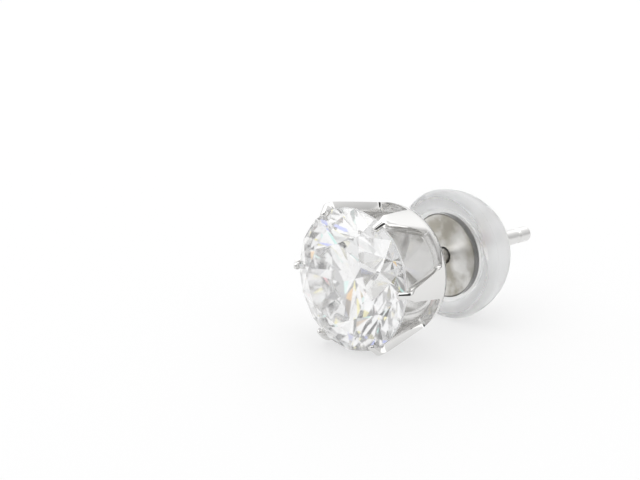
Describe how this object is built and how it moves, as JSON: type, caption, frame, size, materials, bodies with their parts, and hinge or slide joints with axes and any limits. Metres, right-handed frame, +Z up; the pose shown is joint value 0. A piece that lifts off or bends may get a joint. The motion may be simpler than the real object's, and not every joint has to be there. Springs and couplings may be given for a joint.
{
  "type": "solitaire stud earring",
  "caption": "Solitaire stud earring: a round brilliant held by claws on a windowed cup, with a straight grooved post and a silicone dome friction catch that slides on it.",
  "frame": {"origin": "middle of the box that the earring fills, at the surface that it lies on", "axes": "+Z up; +Y along the post, from the stone towards the post's tip, which leans 2.8 degrees down as the earring lies; +X across"},
  "size_m": [0.0072, 0.013, 0.0066],
  "materials": {
    "stone": "clear colourless gemstone, polished facets",
    "precious_metal": "mirror-polished platinum",
    "core_metal": "turned and polished white metal",
    "silicone": "clear silicone, glossy flat face and softly frosted dome"
  },
  "bodies": {
    "stud": {"setting": "precious_metal", "stone": "stone"},
    "catch": {"catch_core": "core_metal", "catch_dome": "silicone"}
  },
  "joints": [
    {"name": "catch_slide", "type": "slide", "parent": "stud", "child": "catch", "axis": [0, 0.9988, -0.0489], "range_m": [-0.0021, 0.0046]}
  ]
}
